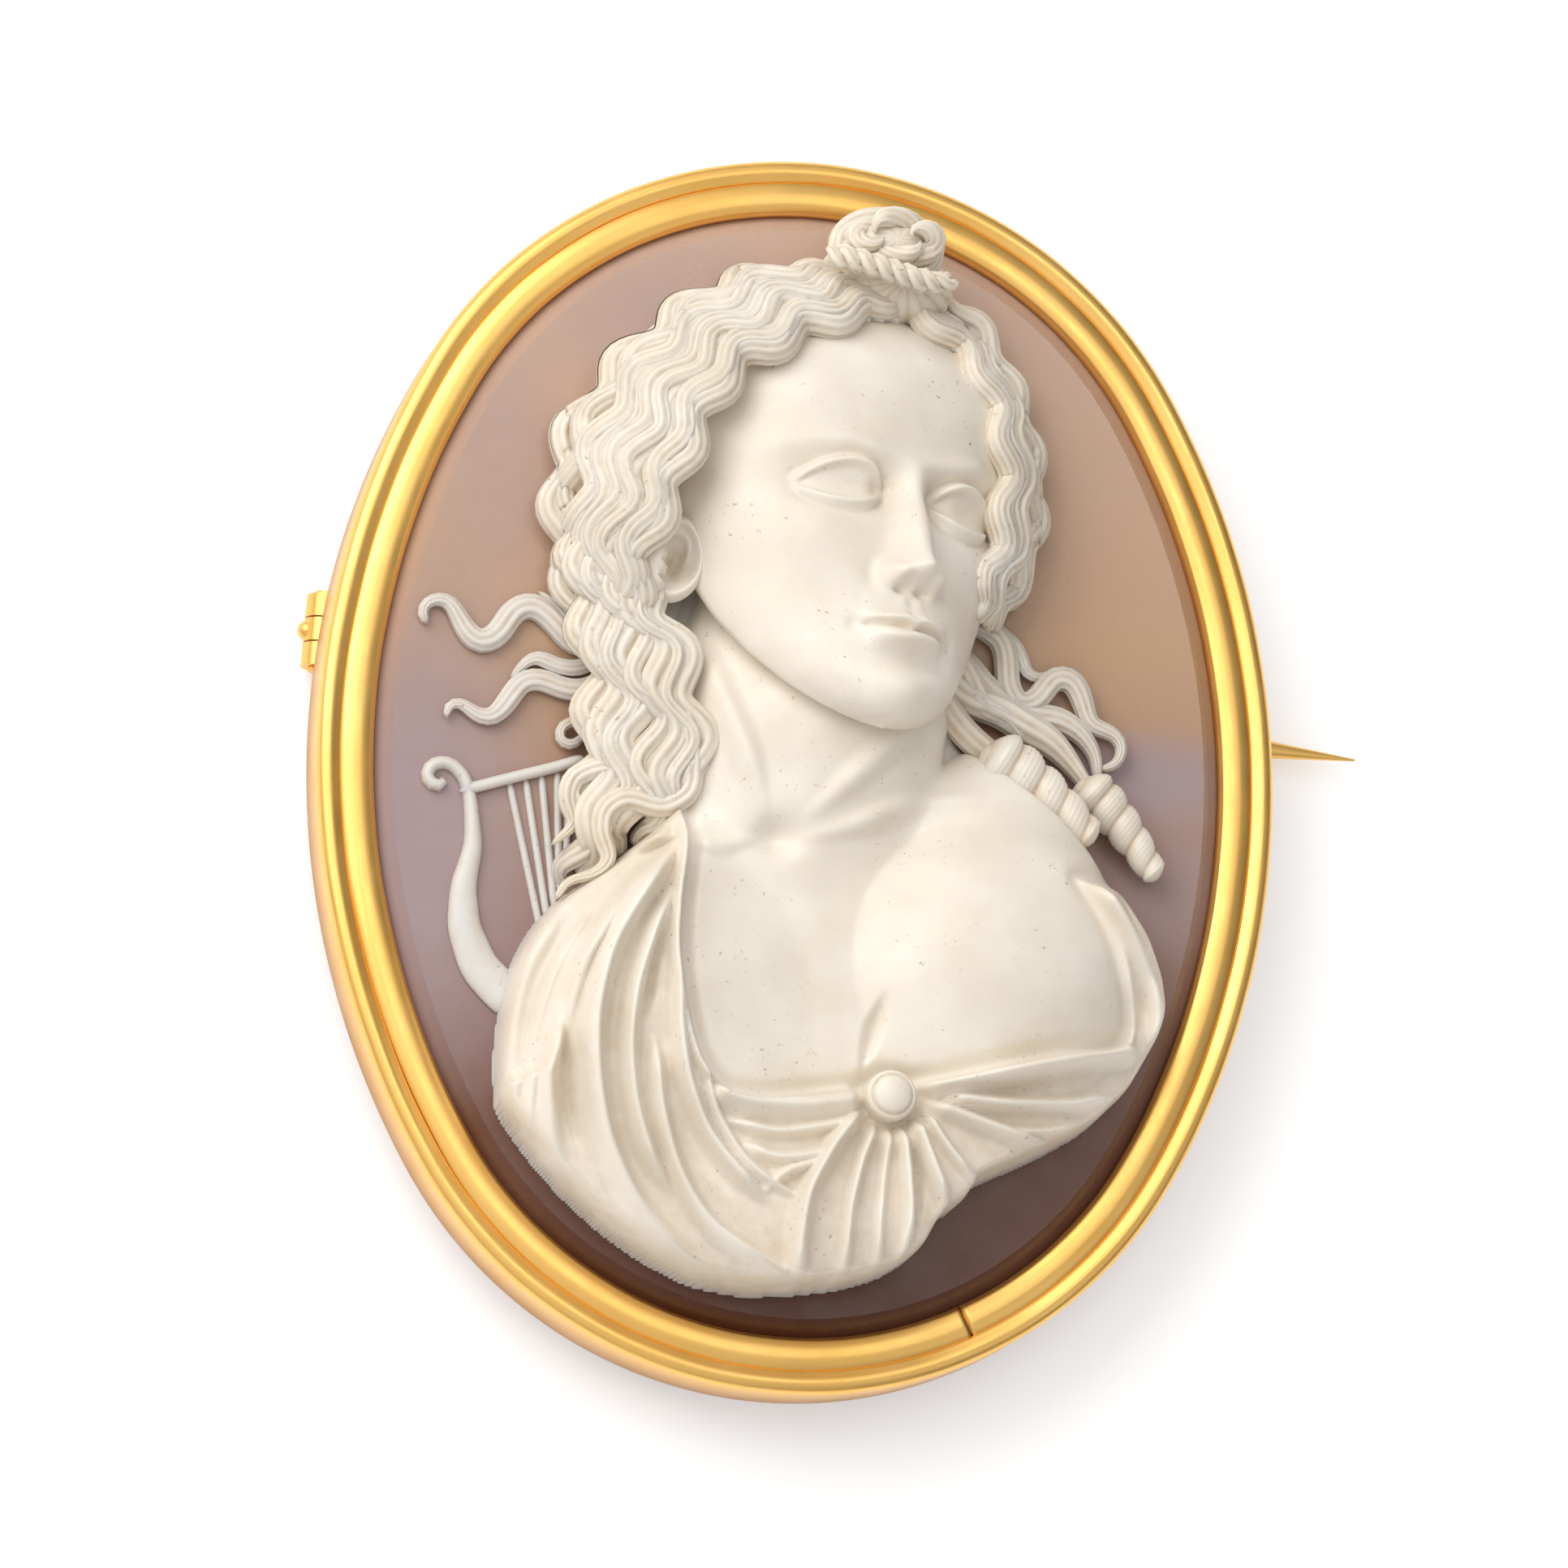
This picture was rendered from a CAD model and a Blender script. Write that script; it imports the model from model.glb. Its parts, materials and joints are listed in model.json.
# %% [markdown]
# # A cameo brooch, finished in Blender
# The gold frame, the stone's brown layer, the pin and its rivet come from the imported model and
# stay as they are. The white layer is carved here: a bust in high relief, with a head, wavy hair,
# cloth held by a button, and a small lyre on the ground beside it.

import json
import math

import bmesh
import bpy
import numpy as np
from mathutils import Matrix, Vector

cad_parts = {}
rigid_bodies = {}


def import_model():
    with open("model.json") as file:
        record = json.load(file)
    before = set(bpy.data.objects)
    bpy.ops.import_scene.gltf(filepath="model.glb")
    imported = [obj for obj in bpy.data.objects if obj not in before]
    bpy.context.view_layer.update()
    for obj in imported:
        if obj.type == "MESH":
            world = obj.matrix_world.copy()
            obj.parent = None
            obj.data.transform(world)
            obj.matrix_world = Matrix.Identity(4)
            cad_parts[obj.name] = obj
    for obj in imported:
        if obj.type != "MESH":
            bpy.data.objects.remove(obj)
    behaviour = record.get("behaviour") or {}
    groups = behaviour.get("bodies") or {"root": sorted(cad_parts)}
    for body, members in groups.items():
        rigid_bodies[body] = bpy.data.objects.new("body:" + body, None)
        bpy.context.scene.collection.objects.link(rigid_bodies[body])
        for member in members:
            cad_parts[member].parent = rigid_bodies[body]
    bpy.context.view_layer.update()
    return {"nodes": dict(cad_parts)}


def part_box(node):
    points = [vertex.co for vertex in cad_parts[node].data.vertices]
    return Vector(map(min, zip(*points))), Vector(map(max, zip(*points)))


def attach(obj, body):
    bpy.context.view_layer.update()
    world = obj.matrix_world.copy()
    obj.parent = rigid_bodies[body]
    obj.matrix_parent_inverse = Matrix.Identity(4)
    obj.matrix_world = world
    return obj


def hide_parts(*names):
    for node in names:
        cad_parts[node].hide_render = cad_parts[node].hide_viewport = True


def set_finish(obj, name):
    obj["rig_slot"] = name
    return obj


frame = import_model()
nodes = frame["nodes"]
MM = 0.001
BODY = "brooch"
print("nodes:", sorted(nodes))

# %% [markdown]
# The carving is worked out in millimetres on the stone's flat face: x and y from the middle of
# the oval, and z up from the face. One helper takes such points to the frame's metres.

# %% Places on the stone
stone_low, stone_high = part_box("cameo_ground")
MIDDLE = np.array([(stone_low.x + stone_high.x) / 2, (stone_low.y + stone_high.y) / 2, stone_high.z])
BEVEL = 1.25
FLAT_W = (stone_high.x - stone_low.x) / 2 / MM - BEVEL
FLAT_H = (stone_high.y - stone_low.y) / 2 / MM - BEVEL


def to_frame(points):
    return MIDDLE + np.asarray(points, float) * MM


print("flat face half sizes:", round(FLAT_W, 2), round(FLAT_H, 2), "mm")

# %% [markdown]
# The camera looks down on the brooch from its lower left, 16 degrees off the upright. The same
# values turn a pixel of the photograph into a place over the stone, which is how the guides of
# the hair and the folds are placed.

# %% Camera
PHOTO = 1932
TILT = math.radians(16)
TURN = math.radians(45.1)
ROLL = math.radians(-0.53)
DISTANCE = 420.0
PX_PER_MM = 27.67
CENTRE_PX = (987.9, 947.1)
SENSOR = 36.0

toward = Vector((-math.sin(TILT) * math.sin(TURN), -math.sin(TILT) * math.cos(TURN), math.cos(TILT)))
level_up = (Vector((0, 1, 0)) - toward * toward.y).normalized()
level_right = level_up.cross(toward)
cam_up = math.cos(ROLL) * level_up + math.sin(ROLL) * level_right
cam_right = cam_up.cross(toward)

camera_data = bpy.data.cameras.new("camera")
camera = bpy.data.objects.new("camera", camera_data)
bpy.context.scene.collection.objects.link(camera)
camera_data.sensor_width = SENSOR
camera_data.lens = SENSOR * PX_PER_MM * DISTANCE / PHOTO
camera_data.shift_x = (PHOTO / 2 - CENTRE_PX[0]) / PHOTO
camera_data.shift_y = (CENTRE_PX[1] - PHOTO / 2) / PHOTO
camera_data.clip_start = 0.02
camera_data.clip_end = 5
spot = Vector(MIDDLE) + toward * DISTANCE * MM
turn = Matrix((cam_right, cam_up, toward)).transposed().to_4x4()
camera.matrix_world = Matrix.Translation(spot) @ turn
bpy.context.scene.camera = camera


def over_stone(px, py, lift):
    """Where the ray through a photo pixel meets the level that lies lift mm over the face."""
    ray = np.array(cam_right) * (px - CENTRE_PX[0]) - np.array(cam_up) * (py - CENTRE_PX[1])
    ray = ray / PX_PER_MM / DISTANCE - np.array(toward)
    eye = np.array(toward) * DISTANCE
    point = eye + ray * (lift - eye[2]) / ray[2]
    return point[:2]


def guide(pixels, lift):
    return np.array([over_stone(px, py, lift) for px, py in pixels])


print("lens", round(camera_data.lens, 1), "mm")

# %% [markdown]
# Floor, sky, stone and gold all get their colours from shader nodes. A few helpers add a node and
# set or link its sockets, so that each finish further down reads as a short recipe.

# %% Helpers for nodes
def new_material(name):
    made = bpy.data.materials.new(name)
    made.use_nodes = True
    return made, made.node_tree, made.node_tree.nodes["Principled BSDF"]


def set_inputs(tree, node, inputs):
    """Gives each named input a number, a colour or the output of another node."""
    for key, value in inputs.items():
        socket = node.inputs[key]
        if isinstance(value, bpy.types.NodeSocket):
            tree.links.new(value, socket)
        elif socket.type == "RGBA":
            socket.default_value = (*value, 1)
        else:
            socket.default_value = value


def add_node(tree, kind, inputs, **settings):
    """A new node with its settings and inputs; what comes back is its outputs."""
    node = tree.nodes.new("ShaderNode" + kind)
    for name, value in settings.items():
        setattr(node, name, value)
    set_inputs(tree, node, inputs)
    return node.outputs


def add_noise(tree, place, scale, detail):
    return add_node(tree, "TexNoise", {"Vector": place, "Scale": scale, "Detail": detail})["Fac"]


def add_range(tree, source, low_in, high_in, low_out, high_out):
    ends = {"From Min": low_in, "From Max": high_in, "To Min": low_out, "To Max": high_out}
    return add_node(tree, "MapRange", {"Value": source, **ends})["Result"]


def add_mix(tree, share, first, second):
    return add_node(tree, "Mix", {0: share, 6: first, 7: second}, data_type="RGBA")[2]


def add_product(tree, first, second):
    return add_node(tree, "Math", {0: first, 1: second}, operation="MULTIPLY")["Value"]


def add_bump(tree, source, strength, depth):
    return add_node(tree, "Bump", {"Height": source, "Strength": strength, "Distance": depth})["Normal"]


def add_ramp(tree, source, stops):
    ramp = tree.nodes.new("ShaderNodeValToRGB")
    bar = ramp.color_ramp
    while len(bar.elements) < len(stops):
        bar.elements.new(0.5)
    for element, (place, color) in zip(bar.elements, stops):
        element.position = place
        element.color = (*color, 1)
    tree.links.new(source, ramp.inputs["Fac"])
    return ramp.outputs["Color"]


# %% [markdown]
# A plain white floor and three soft lights. The main one stands at the upper left, so the shadows
# fall to the lower right. The sky is warm near the floor and darker on the right, which gives the
# gold its deeper side.

# %% Floor and lights
floor_mesh = bpy.data.meshes.new("floor")
bm = bmesh.new()
bmesh.ops.create_grid(bm, x_segments=1, y_segments=1, size=2)
bm.to_mesh(floor_mesh)
bm.free()
floor = bpy.data.objects.new("floor", floor_mesh)
bpy.context.scene.collection.objects.link(floor)
paper, paper_tree, paper_shader = new_material("floor_paper")
set_inputs(paper_tree, paper_shader, {
    "Base Color": (0.9, 0.9, 0.9),
    "Roughness": 0.9,
    "Emission Color": (1, 1, 1),
    "Emission Strength": 0.33
})
floor_mesh.materials.append(paper)


def soft_light(name, place, size, watts, tint):
    """A square lamp at a place in metres that faces the stone."""
    data = bpy.data.lights.new(name, "AREA")
    data.size = size
    data.energy = watts
    data.color = tint
    lamp = bpy.data.objects.new(name, data)
    bpy.context.scene.collection.objects.link(lamp)
    lamp.location = place
    lamp.rotation_euler = (Vector(MIDDLE) - Vector(place)).to_track_quat("-Z", "Y").to_euler()


soft_light("main_light", (-0.34, 0.30, 0.42), 0.50, 2.3, (1.0, 0.98, 0.95))
soft_light("fill_light", (0.45, -0.25, 0.50), 0.40, 0.3, (0.97, 0.98, 1.0))
soft_light("top_light", (0.02, 0.10, 0.75), 0.30, 0.5, (1.0, 1.0, 1.0))
bpy.context.scene.view_settings.view_transform = "Standard"

# %% Sky
sky = bpy.data.worlds.new("studio")
bpy.context.scene.world = sky
sky.use_nodes = True
sky_tree = sky.node_tree
side = add_node(sky_tree, "SeparateXYZ", {0: add_node(sky_tree, "TexCoord", {})["Generated"]})
set_inputs(sky_tree, sky_tree.nodes["Background"], {
    "Color": add_ramp(sky_tree, side["Z"], [(0.0, (0.34, 0.27, 0.20)), (0.50, (1.0, 1.0, 1.0))]),
    "Strength": add_range(sky_tree, side["X"], -0.15, 0.70, 0.80, 0.22)
})

# %% [markdown]
# Every carved surface below starts as flat grids, one for each lock, fold or mass, whose points
# are then moved in code, as a sculptor moves clay. A grid that is rolled up has its seam and its
# ends merged, so each piece is a closed shell. The hollow attribute marks how deep a point lies
# in a groove, and the stone's material darkens there.

# %% Helpers for sculpted grids
WELD = 2e-6


def flat_grids(name, sizes):
    """A mesh of flat grids, and the two shares of the way that each point has over its grid."""
    bm = bmesh.new()
    for around, along in sizes:
        bmesh.ops.create_grid(bm, x_segments=around, y_segments=along, size=1)
    mesh = bpy.data.meshes.new(name)
    bm.to_mesh(mesh)
    bm.free()
    flat = np.zeros(len(mesh.vertices) * 3)
    mesh.vertices.foreach_get("co", flat)
    return mesh, (flat.reshape(-1, 3) + 1) / 2


def place_points(mesh, points, hollow):
    """Moves a mesh's points to places in mm on the stone and marks how hollow each one is."""
    mesh.vertices.foreach_set("co", to_frame(points).ravel())
    mesh.attributes.new("hollow", "FLOAT", "POINT").data.foreach_set("value", hollow)


def sculpt(name, parts, node="cameo_figure", slot="stone_white"):
    """Makes one piece from (around, along, shape), where shape(u, v) gives points and hollows."""
    mesh, shares = flat_grids(name, [(around, along) for around, along, shape in parts])
    places, hollows = [], []
    start = 0
    for around, along, shape in parts:
        count = (around + 1) * (along + 1)
        here = shares[start:start + count]
        points, hollow = shape(here[:, 0], here[:, 1])
        places.append(points)
        hollows.append(hollow)
        start += count
    place_points(mesh, np.vstack(places), np.concatenate(hollows))
    bm = bmesh.new()
    bm.from_mesh(mesh)
    bmesh.ops.remove_doubles(bm, verts=bm.verts, dist=WELD)
    bmesh.ops.recalc_face_normals(bm, faces=bm.faces)
    bm.to_mesh(mesh)
    bm.free()
    return finish_piece(name, mesh, node, slot)


def finish_piece(name, mesh, node="cameo_figure", slot="stone_white"):
    """Shades a mesh smoothly and lets it ride on the brooch in place of a plain CAD node."""
    mesh.polygons.foreach_set("use_smooth", np.ones(len(mesh.polygons), bool))
    mesh.update()
    piece = bpy.data.objects.new(name, mesh)
    bpy.context.scene.collection.objects.link(piece)
    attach(piece, BODY)
    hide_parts(node)
    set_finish(piece, slot)
    print(name, "has", sum(len(p.vertices) - 2 for p in mesh.polygons), "triangles")
    return piece


def close_rims(bm, rise):
    """Draws every open rim straight up by rise mm, fills it and turns all faces outwards."""
    drawn = bmesh.ops.extrude_edge_only(bm, edges=[e for e in bm.edges if e.is_boundary])
    ends = [g for g in drawn["geom"] if isinstance(g, bmesh.types.BMVert)]
    bmesh.ops.translate(bm, verts=ends, vec=(0, 0, rise * MM))
    bmesh.ops.holes_fill(bm, edges=[e for e in bm.edges if e.is_boundary], sides=0)
    bmesh.ops.recalc_face_normals(bm, faces=bm.faces)


# %% Helpers for paths and heights
def steps_along(points):
    """Share of the whole length reached at each point of a path, and that length."""
    lengths = np.linalg.norm(np.diff(points, axis=0), axis=1)
    reach = np.concatenate([[0], np.cumsum(lengths)])
    return reach / reach[-1], reach[-1]


def read_path(path, share, at):
    """Points of a path at shares of its length."""
    return np.stack([np.interp(at, share, path[:, k]) for k in range(path.shape[1])], 1)


def smooth_path(points, count, wear=0.18):
    """A rounded path through a few points: straight steps whose corners are worn off."""
    points = np.asarray(points, float)
    share, length = steps_along(points)
    even = np.linspace(0, 1, count)
    path = read_path(points, share, even)
    rounds = max(2, int((count / len(points)) ** 2 * wear))
    for step in range(rounds):
        path[1:-1] = (path[:-2] + 2 * path[1:-1] + path[2:]) / 4
    share, length = steps_along(path)
    return read_path(path, share, even)


def beside(path):
    """Directions of length 1 square to a path in plan."""
    step = np.gradient(path, axis=0)
    aside = np.stack([-step[:, 1], step[:, 0]], 1)
    return aside / np.linalg.norm(aside, axis=1)[:, None]


def lifted(plan, height):
    return np.column_stack([plan, np.broadcast_to(height, len(plan))])


def closed(points):
    return np.vstack([points, points[:1]])


def oval_ring(middle, half_x, half_y, angle):
    """x and y on an oval round a middle."""
    return middle[0] + half_x * np.cos(angle), middle[1] + half_y * np.sin(angle)


def ease(t):
    t = np.clip(t, 0, 1)
    return t * t * (3 - 2 * t)


def bump(x, middle, half):
    return np.exp(-(((x - middle) / half) ** 2))


def blend_up(a, b, soft):
    """The higher of two heights, with the crease between them rounded."""
    share = np.clip(0.5 + 0.5 * (b - a) / soft, 0, 1)
    return a + (b - a) * share + soft * share * (1 - share)


# %% [markdown]
# The gold frame is a wall with a bead along its top, and an inner band that is rolled over the
# stone. Both were bent and filed by hand, so their smooth sections are swept round the oval with
# a slight unevenness, which is what breaks up the reflections. A bevel on the model's own ring
# would keep its short straight steps, and polished gold shows every one of them as a facet. The
# oval is made of four arcs, from the same sizes as the model.

# %% The oval and its sections
STONE_INSET = 2.05
END_R = 19.5
STONE_TOP = 3.95
HALF_W = FLAT_W + BEVEL + STONE_INSET
HALF_H = FLAT_H + BEVEL + STONE_INSET
END_SHIFT = HALF_H - END_R
SIDE_R = (HALF_W ** 2 + HALF_H ** 2 - 2 * HALF_H * END_R) / (2 * (HALF_W - END_R))
SIDE_SHIFT = SIDE_R - HALF_W
SIDE_ANGLE = math.atan2(END_SHIFT, SIDE_SHIFT)
SIDE_LONG = 2 * SIDE_ANGLE * SIDE_R
END_LONG = (math.pi - 2 * SIDE_ANGLE) * END_R


def oval_place(along, inset):
    """A point of the oval at a share of the way round from its lower right, inset from its edge."""
    reach = (along % 1) * 2 * (SIDE_LONG + END_LONG)
    half = reach >= SIDE_LONG + END_LONG
    reach = np.where(half, reach - SIDE_LONG - END_LONG, reach)
    on_side = reach < SIDE_LONG
    angle = np.where(on_side, reach / SIDE_R - SIDE_ANGLE, (reach - SIDE_LONG) / END_R + SIDE_ANGLE)
    radius = np.where(on_side, SIDE_R, END_R) - inset
    x = np.where(on_side, -SIDE_SHIFT, 0) + radius * np.cos(angle)
    y = np.where(on_side, 0, END_SHIFT) + radius * np.sin(angle)
    turn_back = np.where(half, -1.0, 1.0)
    return x * turn_back, y * turn_back


def arc(inset, height, radius, start, end, count=10):
    angle = np.radians(np.linspace(start, end, count))
    return [(inset + radius * math.cos(t), height + radius * math.sin(t)) for t in angle]


# %% Sections of the wall and the band
# Corners and arcs as inset and height over the frame's back
WALL_SECTION = (
    [(0.3, 0.0)] + arc(0.12, 0.42, 0.12, 250, 180, 4) + arc(0.50, 3.40, 0.50, 180, 90)
    + arc(0.52, 3.42, 0.48, 88, 62, 4) + [(0.90, 3.78), (1.01, 3.745), (1.04, 3.70)]
    + [(1.04, 3.2), (1.0, 0.9), (3.1, 0.9), (3.1, 0.0)]
)
BAND_SECTION = (
    [(1.05, 0.95), (1.05, 2.4), (1.03, 3.70)] + arc(1.72, 2.75, 1.20, 123, 90, 8)
    + arc(1.80, 2.75, 1.20, 88, 62, 7) + arc(2.38, 3.56, 0.15, 50, -10, 5)
    + [(2.53, 3.28), (2.0, 2.80), (2.0, 0.95)]
)


def fine_section(section, count=64):
    """A section with even steps between its corners."""
    ring = closed(np.array(section))
    share, length = steps_along(ring)
    return read_path(ring, share, np.unique(np.concatenate([np.linspace(0, 1, count), share])))


def unevenness(along, seed):
    """A few slow waves round the frame, in mm, as hand work leaves them."""
    wave = np.zeros_like(along)
    for k, size in ((3, 0.020), (7, 0.014), (17, 0.008), (31, 0.005)):
        wave += size * np.sin(2 * math.pi * k * along + seed * k)
    return wave


def sweep(section, seed, low, high, around=720):
    """The section carried round the oval between two shares of the way; a full turn is closed."""
    ring = fine_section(section)
    open_ring = high - low < 1

    def shape(u, v):
        row = np.round(u * (len(ring) - 1)).astype(int)
        inset, height = ring[row, 0], ring[row, 1]
        step = np.round(v * around)
        if open_ring:
            capped = (step < 1) | (step > around - 1)
            inset = np.where(capped, ring[:, 0].mean(), inset)
            height = np.where(capped, ring[:, 1].mean(), height)
            along = low + (high - low) * np.clip((step - 1) / (around - 2), 0, 1)
        else:
            along = low + (high - low) * v
        top = ease((height - 2.4) / 1.2)
        wave = unevenness(along % 1, seed) * top
        x, y = oval_place(along, inset + wave * 0.6)
        hollow = np.clip(1 - height / 3.3, 0, 1)
        return np.column_stack([x, y, height - STONE_TOP + wave * 0.7]), hollow

    return len(ring) - 1, around, shape


# %% Sweep the wall and the band
SEAM_PX = (1190, 1625)
SEAM_GAP = 0.0007
seam_at = over_stone(*SEAM_PX, 0.0)
rounds = np.linspace(0, 1, 4001)
round_x, round_y = oval_place(rounds, 1.8)
SEAM = rounds[np.argmin(np.hypot(round_x - seam_at[0], round_y - seam_at[1]))]
band_sweep = sweep(BAND_SECTION, 2.1, SEAM + SEAM_GAP / 2, SEAM + 1 - SEAM_GAP / 2)
sculpt("frame_wall", [sweep(WALL_SECTION, 1.3, 0, 1)], "rim", "gold_rim")
sculpt("frame_band", [band_sweep], "bezel", "gold_bezel")

# %% [markdown]
# The hinge's knuckles and the hook catch are soldered to the back of the wall. They are cut from
# a copy of the model's own frame, just under its back.

# %% Fittings on the back
SINK = 0.05
CUT_UNDER = 0.005
SHARP = math.radians(35)
cut_at = MIDDLE[2] - (STONE_TOP + CUT_UNDER) * MM
fittings_mesh = bpy.data.meshes.new("back_fittings")
bm = bmesh.new()
bm.from_mesh(nodes["rim"].data)
bmesh.ops.remove_doubles(bm, verts=bm.verts, dist=WELD)
whole = bm.verts[:] + bm.edges[:] + bm.faces[:]
bmesh.ops.bisect_plane(bm, geom=whole, plane_co=(0, 0, cut_at), plane_no=(0, 0, 1), clear_outer=True)
close_rims(bm, SINK)
for edge in bm.edges:
    edge.smooth = edge.calc_face_angle(0) < SHARP
bm.to_mesh(fittings_mesh)
bm.free()
finish_piece("back_fittings", fittings_mesh, "rim", "gold_rim")

# %% [markdown]
# The head could be sculpted with brushes, but a script has none, and a ball pushed about point by
# point soon gets lumpy. So it is one closed grid wrapped round an upright form, from the back of
# one cheek to the back of the other, with each feature added as a smooth mound. It is drawn
# facing straight ahead, with the height from chin to crown taken as 2, on the plain proportions
# that drawing books teach: the eyes half way down, and hairline, brow, nose and chin a third of
# the face apart. Then it is turned, tilted and flattened into the relief.

# %% The head's plain form
HEAD_MIDDLE = (1.15, 10.9, 0.3)
HEAD_HALF = 10.5
HEAD_YAW = math.radians(18)
HEAD_PITCH = math.radians(10)
HEAD_ROLL = math.radians(-8)
HEAD_DEPTH = 0.78
SIDE_LIFT = 0.10
SIDE_WIDEN = 0.09

# Sections from the chin up: height, half width, front, middle of the section, squareness
HEAD_SECTIONS = np.array([
    (-1.03, 0.00, 0.66, 0.62, 1.00),
    (-1.00, 0.13, 0.745, 0.58, 1.00),
    (-0.95, 0.23, 0.79, 0.52, 1.00),
    (-0.86, 0.345, 0.805, 0.42, 1.00),
    (-0.72, 0.455, 0.785, 0.28, 1.00),
    (-0.56, 0.545, 0.785, 0.14, 0.98),
    (-0.40, 0.605, 0.785, 0.04, 0.95),
    (-0.20, 0.650, 0.775, 0.00, 0.92),
    (0.00, 0.680, 0.765, 0.00, 0.90),
    (0.20, 0.700, 0.790, 0.00, 0.88),
    (0.40, 0.700, 0.800, 0.00, 0.88),
    (0.60, 0.660, 0.745, 0.00, 0.90),
    (0.78, 0.550, 0.600, 0.00, 0.95),
    (0.92, 0.350, 0.390, 0.00, 1.00),
    (0.98, 0.180, 0.200, 0.00, 1.00),
    (1.00, 0.000, 0.020, 0.00, 1.00),
])


def smooth_table(table, at):
    """Reads a table's columns at heights, with the corners between its rows rounded off."""
    fine = np.linspace(table[0, 0], table[-1, 0], 401)
    columns = []
    for k in range(1, table.shape[1]):
        values = np.interp(fine, table[:, 0], table[:, k])
        padded = np.concatenate([2 * values[0] - values[24:0:-1], values, 2 * values[-1] - values[-2:-26:-1]])
        kernel = np.hanning(27)
        values = np.convolve(padded, kernel / kernel.sum(), "same")[24:-24]
        columns.append(np.interp(at, fine, values))
    return columns


# %% The face's features
# Swellings and hollows on both halves of the face: rise, middle across and half width, middle
# up and half height
FACE_MOUNDS = [
    # Hollows under the brow and beside the nose's root, then the cheekbone and the cheek
    (-0.120, 0.28, 0.190, -0.005, 0.105), (-0.050, 0.125, 0.06, 0.005, 0.085),
    (0.025, 0.42, 0.16, -0.22, 0.14), (-0.020, 0.33, 0.12, -0.52, 0.16),
    # The nose's tip and wing, the nostril and the fold beside it
    (0.026, 0, 0.075, -0.370, 0.050), (0.088, 0.098, 0.044, -0.395, 0.048),
    (-0.050, 0.050, 0.030, -0.448, 0.022), (-0.020, 0.165, 0.035, -0.400, 0.060),
    # The mouth's swelling and corner, the groove over it, the fold under it and the chin
    (0.042, 0, 0.25, -0.61, 0.15), (-0.025, 0.220, 0.030, -0.630, 0.035),
    (-0.008, 0, 0.020, -0.505, 0.040), (0.004, 0.038, 0.020, -0.505, 0.040),
    (-0.040, 0, 0.19, -0.765, 0.042), (0.045, 0, 0.15, -0.885, 0.080)
]


def face_relief(x, y):
    """How far the features stand over the head's plain form, seen from the front."""
    side = np.abs(x)
    brow_line = 0.125 + 0.05 * np.clip(side / 0.3, 0, 1) - 0.35 * np.clip(side - 0.3, 0, 1) ** 1.5
    out = 0.040 * bump(y, brow_line, 0.050) * bump(side, 0.24, 0.24)
    for rise, across, half_across, up, half_up in FACE_MOUNDS:
        out += rise * bump(side, across, half_across) * bump(y, up, half_up)
    # The nose's ridge, from its root to the rounded tip
    run = np.clip((0.10 - y) / 0.46, 0, 1.3)
    ridge = 0.040 + 0.143 * run ** 1.10
    wide = 0.060 + 0.008 * np.sin(np.clip(run, 0, 1) * math.pi) + 0.022 * run ** 3
    return out + ridge * np.exp(-(side / wide) ** 2.1) * ease((y + 0.462) / 0.110) * ease((0.20 - y) / 0.16)


def eye_relief(x, y):
    """A smooth eyeball between two lids, the same on both sides."""
    side = np.abs(x)
    across = (side - 0.288) / 0.162
    inside_eye = np.clip(1 - across ** 2, 0, 1)
    upper = -0.012 + 0.082 * inside_eye ** 0.8 - 0.012 * across
    lower = -0.022 - 0.055 * inside_eye ** 0.9 - 0.010 * across
    ball = np.clip(1 - ((side - 0.285) / 0.180) ** 2 - ((y + 0.002) / 0.135) ** 2, 0, 1)
    lids = 0.040 * bump(y, upper + 0.018, 0.019) + 0.024 * bump(y, lower - 0.014, 0.016)
    lids -= np.where((y < upper) & (y > lower), 0.012, 0.0) + 0.012 * bump(y, lower - 0.050, 0.016)
    crease = 0.030 * bump(y, upper + 0.052, 0.014) * ease((1.25 - np.abs(across)) / 0.4)
    return 0.096 * ball ** 0.75 + lids * ease((1.12 - np.abs(across)) / 0.25) - crease


def mouth_relief(x, y):
    """Two closed lips and the line between them."""
    side = np.abs(x)
    spread = np.clip(1 - (side / 0.205) ** 2, 0, 1)
    full = np.clip(1 - (side / 0.175) ** 2, 0, 1)
    bow = -0.572 + 0.010 * bump(side, 0.045, 0.03) - 0.012 * bump(x, 0, 0.02)
    line = -0.626 - 0.006 * bump(x, 0, 0.03) + 0.004 * bump(side, 0.08, 0.05)
    out = 0.074 * spread ** 0.7 * bump(y, (bow + line) / 2, 0.032)
    out += 0.088 * full ** 0.8 * bump(y, -0.674, 0.038)
    return out - 0.055 * bump(y, line, 0.013) * ease((0.215 - side) / 0.05)


# %% Wrap the head and turn it into the relief
HEAD_AROUND = 250
HEAD_ALONG = 330


def set_head(x, y, z):
    """From the head's own frame to its place on the stone."""
    cy, sy = math.cos(HEAD_YAW), math.sin(HEAD_YAW)
    cp, sp = math.cos(HEAD_PITCH), math.sin(HEAD_PITCH)
    cr, sr = math.cos(HEAD_ROLL), math.sin(HEAD_ROLL)
    y, z = y * cp + z * sp * 0.6, z * cp - y * sp
    x, z = x * cy + z * sy, z * cy - x * sy
    x, y = x * cr - y * sr, x * sr + y * cr
    near_side = np.clip(-x, 0, 1)
    scaled = np.stack([x - SIDE_WIDEN * near_side, y, z * HEAD_DEPTH + SIDE_LIFT * near_side], -1) * HEAD_HALF
    return scaled + np.array(HEAD_MIDDLE)


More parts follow.
